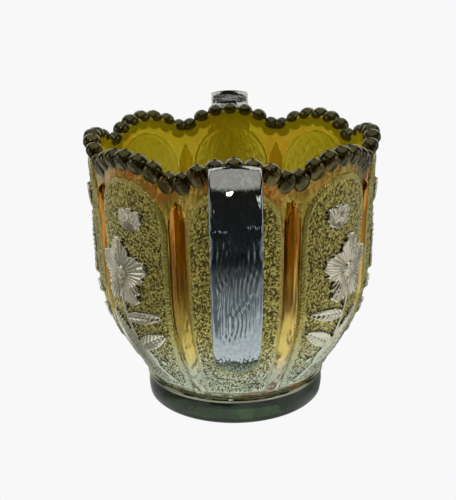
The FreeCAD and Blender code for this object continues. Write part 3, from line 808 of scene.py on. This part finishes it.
def make_pad(panel):
    way = 0 if panel not in FLOWER_PANELS else (1 if panel < 5 else -1)
    front, back, stipple, relief = pad_grids(way)
    points, faces = plate(front, back)
    pad = new_piece(f"pad_{panel}", turned(points, panel_angle(panel)), faces, crease=70)
    for name, values, rest in (("stipple", stipple, 0), ("relief", relief, 0), ("back", 0 * relief, 1)):
        attribute = pad.data.attributes.new(name, "FLOAT", "POINT")
        full = np.full(len(points), rest, np.float32)
        full[:values.size] = values.ravel()
        attribute.data.foreach_set("value", full)
    return run_tree(pad, stipple_tree, {
        "Cell Size": STIPPLE_CELL, "Depth": STIPPLE_DEPTH, "Upright Stretch": 0.8, "Seed": 3.0 + panel,
        "Pad Finish": stippled_glass, "Spray Finish": spray_glass, "Back Finish": clear_glass,
    })


pads = {panel: make_pad(panel) for panel in range(1, PANELS + 1)}
report(pads[1])
report(pads[2])

# %% [markdown]
# ## The ridges
#
# A ridge is a bar of two sloping faces that stands in the valley between two pads, with a pointed top like
# a pencil and a rounded foot. It is a plate too: narrow, with a crest.

# %% One ridge, and its seven copies
ridge_low, ridge_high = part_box("ridge_2")
RIDGE_POINT = 7 * MM
FACET_SLOPE = math.tan(math.radians(26))
CREST_ROUND = 0.25 * MM


def make_ridge(number):
    bottom, top = ridge_low.z, ridge_high.z
    u = np.linspace(-1, 1, 17)
    v = np.concatenate([np.linspace(0, 0.06, 8), np.linspace(0.06, 0.9, 60)[1:], np.linspace(0.9, 1, 16)[1:]])
    z = bottom + (top - bottom) * v[:, None]
    run = side(top) * math.sin(math.radians(3.5))
    half = run * np.clip((top - z) / RIDGE_POINT, 0.02, 1)
    half = half * np.sqrt(np.clip(1 - (1 - np.minimum((z - bottom) / run, 1))**2, 0.02, 1))
    across = u * half
    crest = side(z) - FACET_SLOPE * (np.sqrt(across**2 + CREST_ROUND**2) - CREST_ROUND)
    angle = across / side(z)
    ground = outside(HALF - np.abs(angle), z)
    ramp = smooth(1 - np.abs(u), 0, 0.12)
    fade = smooth(top - z, 0, 2 * MM) * smooth(z, bottom, bottom + 2.5 * MM)
    radius = ground + 0.1 * MM + np.maximum(crest - ground - 0.1 * MM, 0) * ramp * fade
    points, faces = plate(on_bowl(angle, radius, z), on_bowl(angle, ground + GAP, z), 4)
    ridge = new_piece(f"ridge_bar_{number}", turned(points, panel_angle(number) + HALF), faces, crease=18)
    x, y, z = face_middles(ridge).T
    off_wall = np.hypot(x, y) - outside(panel_local(x, y), z)
    # The crest faces take the ridge finish with its painted glow.
    paint(ridge, [ridge_glass, clear_glass], off_wall < 2 * GAP)
    return ridge


ridges = {number: make_ridge(number) for number in range(1, PANELS + 1)}
report(ridges[1])

# %% [markdown]
# ## The beads
#
# Seven beads sit on every scallop, 56 in all. A bead is a short barrel that points at the bowl's axis. Its
# lower half is blunter and narrows towards the wall, so that the bead sinks into the rim. Geometry Nodes
# then put one bead on every guide point.

# %% One bead
BEAD_LENGTH, BEAD_RADIUS = 6.9 * MM, 3.45 * MM


def bead_shape():
    """A barrel along X with full ends that tucks in underneath."""
    along = np.sin(np.linspace(-math.pi / 2, math.pi / 2, 15)[1:-1])
    around = np.linspace(0, 2 * math.pi, 24, endpoint=False)
    rows = []
    for share in along:
        radius = BEAD_RADIUS * (1 - abs(share)**2.6)**(1 / 2.6)
        bluntness = np.where(around > math.pi, 0.75, 1.0)
        y = radius * np.sign(np.cos(around)) * np.abs(np.cos(around))**bluntness
        z = radius * np.sign(np.sin(around)) * np.abs(np.sin(around))**bluntness
        sunk = np.clip(-z / BEAD_RADIUS, 0, 1)
        rows.append(np.stack([share * BEAD_LENGTH / 2 * (1 - 0.64 * sunk), y, z * (1 + 0.3 * sunk)], -1))
    half = BEAD_LENGTH / 2
    return vessel(rows, (-half, 0, 0), (half, 0, 0))


bead = new_piece("bead", *bead_shape(), crease=80)

# %% Guide points along the rim
BEADS = 7
BEAD_DROP = 1.0 * MM
INNER_OVERHANG, OUTER_OVERHANG = 0.5 * MM, 2.2 * MM
guides, bead_turns, bead_sizes = [], [], []
for panel in range(1, PANELS + 1):
    for step in range(-(BEADS // 2), BEADS // 2 + 1):
        scallop_turn = step * 2 * math.asin(half_chord / scallop_radius) / BEADS
        angle = math.asin(scallop_radius * math.sin(scallop_turn) / rim_middle)
        z = scallop_axis_z + scallop_radius * math.cos(scallop_turn) - BEAD_DROP
        inner = float(side(z, -wall_thickness)) - INNER_OVERHANG
        outer = float(outside(angle, z)) + OUTER_OVERHANG
        guides.append(on_bowl(panel_angle(panel) + angle, (inner + outer) / 2, z))
        bead_turns.append((-scallop_turn * 0.6, 0.0, panel_angle(panel) + angle))
        bead_sizes.append(((outer - inner) / BEAD_LENGTH, 1.0, 1.0))
guide = bpy.data.meshes.new("rim_guide")
guide.from_pydata([tuple(point) for point in guides], [], [])
for name, values in (("turn", bead_turns), ("size", bead_sizes)):
    attribute = guide.attributes.new(name, "FLOAT_VECTOR", "POINT")
    attribute.data.foreach_set("vector", np.array(values, np.float32).ravel())
rim_beads = bpy.data.objects.new("rim_bead_row", guide)
bpy.context.scene.collection.objects.link(rim_beads)
print(len(guides), "beads")

# %% The tree that sets the beads
bead_tree, given, made = group_with(
    "set_beads",
    [("Geometry", "NodeSocketGeometry", None), ("Bead", "NodeSocketObject", None), ("Size", NUMBER, 1.0),
     ("Finish", "NodeSocketMaterial", None)],
    [("Geometry", "NodeSocketGeometry")],
    "GeometryNodeTree",
)
shape = add(bead_tree, "GeometryNodeObjectInfo", given.outputs["Bead"])
turn = add(bead_tree, "GeometryNodeInputNamedAttribute", "turn", data_type="FLOAT_VECTOR").outputs[0]
size = add(bead_tree, "GeometryNodeInputNamedAttribute", "size", data_type="FLOAT_VECTOR").outputs[0]
size = add(bead_tree, "ShaderNodeVectorMath", size, operation="SCALE")
bead_tree.links.new(given.outputs["Size"], size.inputs["Scale"])
placed = add(bead_tree, "GeometryNodeInstanceOnPoints")
bead_tree.links.new(given.outputs["Geometry"], placed.inputs["Points"])
bead_tree.links.new(shape.outputs["Geometry"], placed.inputs["Instance"])
bead_tree.links.new(turn, placed.inputs["Rotation"])
bead_tree.links.new(size.outputs[0], placed.inputs["Scale"])
real = add(bead_tree, "GeometryNodeRealizeInstances", placed.outputs[0])
painted = add(bead_tree, "GeometryNodeSetMaterial", real.outputs[0])
bead_tree.links.new(given.outputs["Finish"], painted.inputs["Material"])
bead_tree.links.new(painted.outputs[0], made.inputs["Geometry"])
run_tree(rim_beads, bead_tree, {"Bead": bead, "Size": 1.0, "Finish": bead_glass})
bpy.data.objects.remove(bead)
rim_beads.data.shade_smooth()
report(rim_beads)

# %% [markdown]
# ## The handles
#
# A handle is a wide strap that leaves the wall under the rim, bends over and comes back low on the belly,
# where it ends in a tongue. A row of rounded outlines is laid along a smooth line. The line passes through
# a few places that are worked out from the box of the CAD handle.

# %% A smooth line through places
def smooth_line(places, count):
    """Points evenly spaced on a natural cubic curve through the places."""
    places = np.array(places, float)
    steps = np.concatenate([[0], np.cumsum(np.linalg.norm(np.diff(places, axis=0), axis=1))])
    gaps = np.diff(steps)
    size = len(places)
    system = np.eye(size)
    right = np.zeros_like(places)
    for i in range(1, size - 1):
        system[i, i - 1:i + 2] = gaps[i - 1], 2 * (gaps[i - 1] + gaps[i]), gaps[i]
        right[i] = 6 * ((places[i + 1] - places[i]) / gaps[i] - (places[i] - places[i - 1]) / gaps[i - 1])
    bend = np.linalg.solve(system, right)
    at = np.linspace(0, steps[-1], count)
    i = np.clip(np.searchsorted(steps, at, side="right") - 1, 0, size - 2)
    near, far, gap = (steps[i + 1] - at)[:, None], (at - steps[i])[:, None], gaps[i][:, None]
    value = (bend[i] * near**3 + bend[i + 1] * far**3) / (6 * gap)
    value += (places[i] / gap - bend[i] * gap / 6) * near
    return value + (places[i + 1] / gap - bend[i + 1] * gap / 6) * far


# %% The strap's middle line
handle_low, handle_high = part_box("handle_back")
STRAP = 6.2 * MM
handle_half = handle_high.x
tongue_half = 8.1 * MM
tip_z = handle_low.z
CREST_REACH, SIDE_DROP, ROOT_DROP, ROOT_DEPTH = 21.1 * MM, 18.9 * MM, 3.7 * MM, 2.4 * MM
crest = np.array([rim_radius + CREST_REACH, handle_high.z - STRAP / 2])
side_out = np.array([handle_high.y - STRAP / 2, crest[1] - SIDE_DROP])
root = np.array([float(side(crest[1] - ROOT_DROP)) - ROOT_DEPTH, crest[1] - ROOT_DROP])
lower_z = tip_z + 7.5 * MM
landing = np.array([float(side(lower_z)) + STRAP, lower_z + 2.5 * MM])
lower = np.array([float(side(lower_z)) - STRAP, lower_z - STRAP])
way = landing - side_out
places = [
    root,
    (root + crest) / 2 - np.array([0, 0.5 * MM]),
    crest,
    np.array([(crest[0] + 2 * side_out[0]) / 3, (crest[1] + side_out[1]) / 2 + 1.6 * MM]),
    side_out,
    side_out + way * (0.11, 0.34),
    side_out + way * (0.45, 0.72),
    landing,
    lower,
]
line = smooth_line(places, 330)
print(f"strap line {np.linalg.norm(np.diff(line, axis=0), axis=1).sum() / MM:.0f} mm long")

# %% [markdown]
# The outline is flat on the inside and a little crowned on the outside, with soft edges. The outer face
# carries fine upright ripples, strongest low down. They are pressed into the mesh, because they break the
# reflections into bright threads. At its lower end the strap is cut to a half round and lies on the wall as
# a tongue, whose rim is bright yellow-green glass that paints a glint along its edge.

# %% The strap as a skin
OUTER_EDGE, INNER_EDGE, CROWN = 2.4 * MM, 1.6 * MM, 0.7 * MM
TAPER_DROP, TAPER_LENGTH = 16 * MM, 60 * MM
TONGUE_LIFT, TONGUE_RIM = 1.1 * MM, 2.0 * MM


def strap_outline(half, thick):
    """Offsets sideways and outwards round one outline, and which of them lie on the outer face."""
    across, out = [], []
    face = np.linspace(-1, 1, 64)
    across.append(face * (half - OUTER_EDGE))
    out.append(thick / 2 - CROWN * face**2)
    for way, edge, start, low in ((1, OUTER_EDGE, 90, -1), (1, INNER_EDGE, 0, 1)):
        turn = np.radians(np.linspace(start, start - 90, 8)[1:])
        level = thick / 2 - CROWN - edge if low < 0 else -thick / 2 + edge
        across.append(way * (half - edge + edge * np.cos(turn)))
        out.append(level + edge * np.sin(turn))
    inner = np.linspace(1, -1, 16)[1:-1]
    across.append(inner * (half - INNER_EDGE))
    out.append(np.full(inner.shape, -thick / 2))
    for edge, start, low in ((INNER_EDGE, -90, 1), (OUTER_EDGE, -180, -1)):
        turn = np.radians(np.linspace(start, start - 90, 8)[:-1])
        level = thick / 2 - CROWN - edge if low < 0 else -thick / 2 + edge
        across.append(-(half - edge) + edge * np.cos(turn))
        out.append(level + edge * np.sin(turn))
    return np.concatenate(across), np.concatenate(out)


def ripple(across, z):
    """Fine upright threads that wander as they run down."""
    wander = 1.3 * np.sin(z / (5.5 * MM) + across / (4.1 * MM))
    wander += 0.8 * np.sin(z / (2.6 * MM) - across / (2.3 * MM))
    threads = np.sin(across * 2 * math.pi / (1.5 * MM) + 2.2 * wander)
    threads += 0.6 * np.sin(across * 2 * math.pi / (2.6 * MM) - 3.1 * wander + 1.0)
    return threads


def make_handle(name, panel):
    tangent = np.gradient(line, axis=0)
    tangent /= np.linalg.norm(tangent, axis=1)[:, None]
    outwards = np.stack([-tangent[:, 1], tangent[:, 0]], -1)
    rows = []
    for middle, out_way in zip(line, outwards):
        taper = float(np.clip((handle_high.z - TAPER_DROP - middle[1]) / TAPER_LENGTH, 0, 1))
        half = handle_half + (tongue_half - handle_half) * taper
        across, out = strap_outline(half, STRAP)
        on_face = smooth(out, STRAP / 2 - 2 * CROWN, STRAP / 2 - 0.6 * CROWN)
        depth = 0.04 * MM + 0.12 * MM * smooth(-middle[1], -92 * MM, -70 * MM)
        depth *= smooth(-middle[1], -100 * MM, -93 * MM)
        out = out - on_face * depth * (1.6 + ripple(across, middle[1])) / 1.6
        radius = middle[0] + out_way[0] * out
        z = middle[1] + out_way[1] * out
        lift = np.clip(tip_z + tongue_half - z, 0, tongue_half)
        allowed = np.sqrt(np.maximum(tongue_half**2 - lift**2, 0))
        across = np.clip(across, -allowed, allowed)
        z = np.maximum(z, tip_z)
        tongue = np.sqrt(np.clip(1 - (across**2 + lift**2) / tongue_half**2, 0, 1))
        lying = side(z) + TONGUE_LIFT + 2.6 * MM * tongue
        radius = np.where((out > 0) & (z < tip_z + 1.5 * tongue_half), np.maximum(radius, lying), radius)
        rows.append(np.stack([radius, across, z], -1))
    first, last = rows[0].mean(0), rows[-1].mean(0)
    points, faces = vessel(rows, first, last)
    handle = new_piece(name, turned(points, panel_angle(panel)), faces, crease=50)
    middles = face_middles(handle)
    x, y, z = turned(middles, -panel_angle(panel)).T
    inset = tongue_half - np.hypot(y, np.minimum(z - tip_z - tongue_half, 0))
    # The rim of the tongue takes the yellow-green finish of the painted glint.
    paint(handle, [handle_glass, tongue_glass], (inset < TONGUE_RIM) & (z < tip_z + tongue_half))
    return handle


HANDLE_PANELS = {"handle_front": 1, "handle_back": 5}
handles = {name: make_handle(f"{name}_strap", panel) for name, panel in HANDLE_PANELS.items()}
report(handles["handle_front"])

# %% [markdown]
# ## Tying the pieces to the frame
#
# Nothing on this bowl moves, so every piece rides on the one body. Each piece hides the CAD nodes that it
# stands for.

# %% Riding and replacing
def stand_for(piece, slot, *nodes):
    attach(piece, "root")
    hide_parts(*nodes)


stand_for(bowl_wall, "bowl_glass", "bowl_wall")
stand_for(foot, "foot_glass", "foot")
stand_for(rim_beads, "bead_glass", *[f"rim_beads_{panel}" for panel in range(1, PANELS + 1)])
for panel, pad in pads.items():
    sprays = [f"flower_{panel}", f"stem_and_leaves_{panel}"] if panel in FLOWER_PANELS else []
    stand_for(pad, "stippled_glass", f"panel_pad_{panel}", *sprays)
for number, ridge in ridges.items():
    stand_for(ridge, "ridge_glass", f"ridge_{number}")
for name, handle in handles.items():
    stand_for(handle, "handle_glass", name)

# %% [markdown]
# ## The floor and the light
#
# Shiny glass shows the room more than itself. The floor and the background are plain and pale where they
# are seen directly or through the glass. What the glass mirrors is a studio: a bright ceiling and side
# panels, a dark band at eye level that gives the handles their black, and a pale table around the foot that
# is lighter to the sides and uneven. Light that goes through the glass counts as glossy too, so the switch
# is the ray that was mirrored.

# %% The floor
PALE = 0.94
floor_mesh = bpy.data.meshes.new("floor")
reach = 3.0
corners = [(-reach, -reach, 0), (reach, -reach, 0), (reach, reach, 0), (-reach, reach, 0)]
floor_mesh.from_pydata(corners, [], [(0, 1, 2, 3)])
floor = bpy.data.objects.new("floor", floor_mesh)
bpy.context.scene.collection.objects.link(floor)
floor_paint = bpy.data.materials.new("floor_paint")
floor_paint.use_nodes = True
tree = floor_paint.node_tree
tree.nodes.clear()
rays = add(tree, "ShaderNodeLightPath")
seen = add(tree, "ShaderNodeEmission", (PALE, PALE, PALE, 1), 1.0)
place = add(tree, "ShaderNodeTexCoord").outputs["Object"]
distance = add(tree, "ShaderNodeVectorMath", place, operation="LENGTH").outputs["Value"]
near = map_range(tree, distance, 70 * MM, 230 * MM, 0.62, 0.02)
aside = add(tree, "ShaderNodeVectorMath", place, operation="NORMALIZE").outputs[0]
aside = add(tree, "ShaderNodeSeparateXYZ", aside).outputs[0]
aside = add(tree, "ShaderNodeMath", aside, operation="ABSOLUTE").outputs[0]
aside = map_range(tree, aside, 0.25, 0.75, 0.0, 0.45)
cards = add(tree, "ShaderNodeTexNoise", place, None, 9.0, 1.0).outputs[0]
cards = map_range(tree, cards, 0.46, 0.58, 0.4, 1.4)
table = add(tree, "ShaderNodeMath", near, aside, operation="MAXIMUM").outputs[0]
table = add(tree, "ShaderNodeMath", table, cards, operation="MULTIPLY").outputs[0]
mirrored = add(tree, "ShaderNodeEmission", (1, 1, 1, 1), table)
was_mirrored = rays.outputs["Is Reflection Ray"]
mixed = add(tree, "ShaderNodeMixShader", was_mirrored, seen.outputs[0], mirrored.outputs[0])
add(tree, "ShaderNodeOutputMaterial", mixed.outputs[0])
floor_mesh.materials.append(floor_paint)

# %% The room
world = bpy.data.worlds.new("studio")
bpy.context.scene.world = world
world.use_nodes = True
tree = world.node_tree
tree.nodes.clear()
way = add(tree, "ShaderNodeTexCoord").outputs["Generated"]
parts = add(tree, "ShaderNodeSeparateXYZ", way)
ceiling = map_range(tree, parts.outputs[2], 0.68, 0.80, 0.0, 0.6)


def soft_box(azimuth, elevation, half_size, strength):
    """A soft panel in the room, by the angle between a ray and the panel's direction."""
    turn, rise = math.radians(azimuth), math.radians(elevation)
    towards = (math.sin(turn) * math.cos(rise), -math.cos(turn) * math.cos(rise), math.sin(rise))
    facing = add(tree, "ShaderNodeVectorMath", way, towards, operation="DOT_PRODUCT").outputs["Value"]
    edge = math.cos(math.radians(half_size))
    return map_range(tree, facing, edge, min(1.0, edge + 0.02), 0.0, strength)


total = ceiling
for azimuth, elevation, half_size, strength in (
    (85, 12, 18, 0.9), (-85, 12, 18, 0.9), (150, 20, 26, 1.0), (210, 20, 26, 1.0), (-8, 42, 3.0, 22.0),
    (34, 30, 6, 1.4), (-36, 24, 6, 1.4), (52, 5, 5, 1.5), (-50, 8, 5, 1.5),
    (20, 12, 1.5, 2.5), (-17, 8, 1.5, 2.5),
):
    total = add(tree, "ShaderNodeMath", total, soft_box(azimuth, elevation, half_size, strength),
                operation="ADD").outputs[0]
total = add(tree, "ShaderNodeMath", total, 0.012, operation="ADD").outputs[0]
room = add(tree, "ShaderNodeBackground", (1, 1, 1, 1), total)
backdrop = add(tree, "ShaderNodeBackground", (PALE, PALE, PALE, 1), 1.0)
was_mirrored = add(tree, "ShaderNodeLightPath").outputs["Is Reflection Ray"]
mixed = add(tree, "ShaderNodeMixShader", was_mirrored, backdrop.outputs[0], room.outputs[0])
add(tree, "ShaderNodeOutputWorld", mixed.outputs[0])
bpy.context.scene.view_settings.view_transform = "Standard"

# %% [markdown]
# ## The camera
#
# The camera stands in front of the front handle and looks down a little, so that the inside of the far
# wall shows over the near rim.

# %% The camera's place
camera_data = bpy.data.cameras.new("camera")
camera_data.lens = 68.42
camera_data.sensor_width = 36.0
camera = bpy.data.objects.new("camera", camera_data)
bpy.context.scene.collection.objects.link(camera)
bpy.context.scene.camera = camera
camera.location = Vector((-3.81, -354.79, 176.20)) * MM
target = Vector((-2.14, 0.0, 57.9)) * MM
aim = (target - camera.location).to_track_quat("-Z", "Y")
ROLL = math.radians(0.93)
camera.rotation_mode = "QUATERNION"
camera.rotation_quaternion = aim @ Quaternion((0, 0, 1), -ROLL)
print("camera", [round(v / MM) for v in camera.location])
